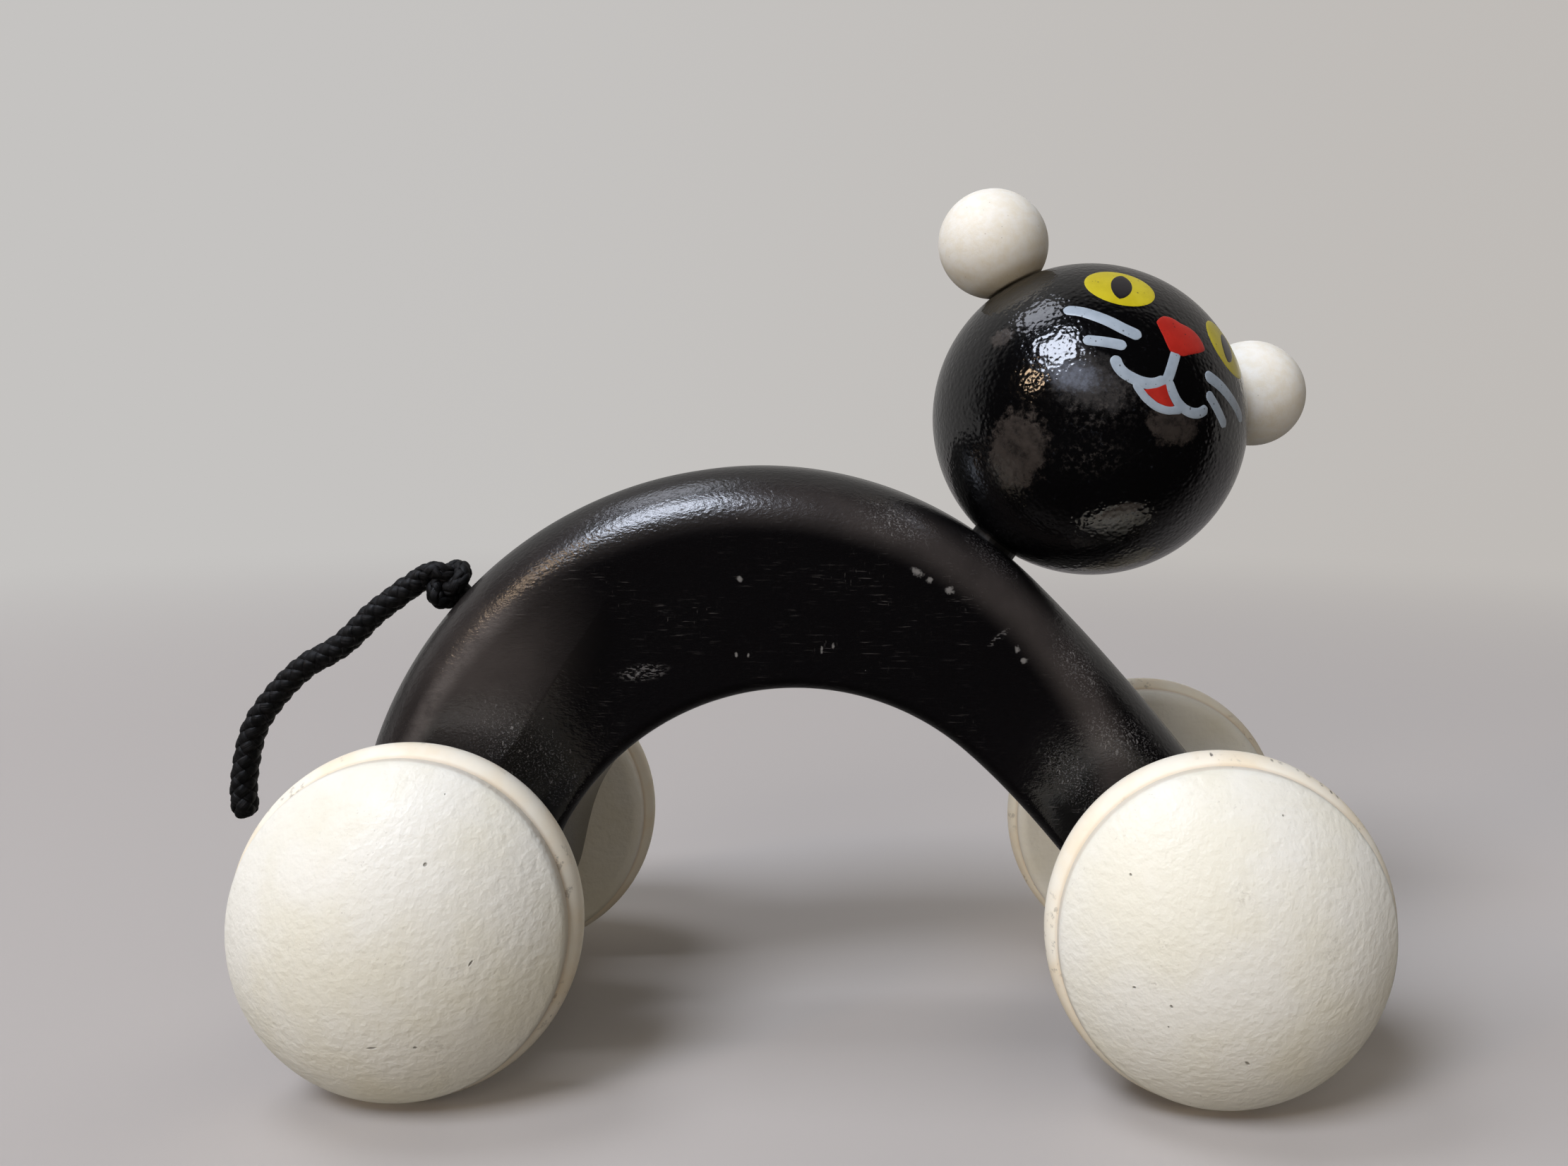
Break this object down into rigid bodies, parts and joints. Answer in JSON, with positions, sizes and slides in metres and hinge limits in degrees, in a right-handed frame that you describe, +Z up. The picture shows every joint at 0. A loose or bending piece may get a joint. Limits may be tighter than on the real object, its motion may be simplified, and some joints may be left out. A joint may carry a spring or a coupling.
{
  "type": "wooden pull toy cat",
  "caption": "Arched wooden cat on domed wheels with rubber ring tyres, a ball head that swivels on its neck, ball ears and a braided cord tail.",
  "frame": {"origin": "on the floor, midway between the axles, on the middle plane of the board", "axes": "+X from the tail to the chest, +Y to the cat's left, +Z up"},
  "size_m": [0.1764, 0.08, 0.1334],
  "materials": {
    "body_lacquer": "black lacquer, half gloss, worn at the edges",
    "head_lacquer": "black lacquer, glossy, with a painted face",
    "beech": "bare turned beech",
    "ear_paint": "matt cream paint, speckled with age",
    "wheel_paint": "satin ivory paint",
    "tyre_rubber": "matt cream rubber, scuffed",
    "axle_steel": "plain drawn rod",
    "tail_braid": "black braided cord"
  },
  "bodies": {
    "chassis": {"body": "body_lacquer", "tail_knot": "tail_braid", "tail_cord": "tail_braid"},
    "head_ball": {"head": "head_lacquer", "neck_dowel": "beech", "ear_left": "ear_paint", "ear_right": "ear_paint", "ear_dowel_left": "beech", "ear_dowel_right": "beech"},
    "front_wheels": {"front_axle": "axle_steel", "wheel_front_left": "wheel_paint", "wheel_front_right": "wheel_paint", "tyre_front_left": "tyre_rubber", "tyre_front_right": "tyre_rubber"},
    "rear_wheels": {"rear_axle": "axle_steel", "wheel_rear_left": "wheel_paint", "wheel_rear_right": "wheel_paint", "tyre_rear_left": "tyre_rubber", "tyre_rear_right": "tyre_rubber"}
  },
  "joints": [
    {"name": "head_swivel", "type": "hinge", "parent": "chassis", "child": "head_ball", "pos_m": [0.04181, 0, 0.09592], "axis": [0.5948, 0, 0.8039], "continuous": true},
    {"name": "front_axle_spin", "type": "hinge", "parent": "chassis", "child": "front_wheels", "pos_m": [0.0567, 0, 0.0246], "axis": [0, 1, 0], "continuous": true},
    {"name": "rear_axle_spin", "type": "hinge", "parent": "chassis", "child": "rear_wheels", "pos_m": [-0.0567, 0, 0.0246], "axis": [0, 1, 0], "continuous": true}
  ]
}
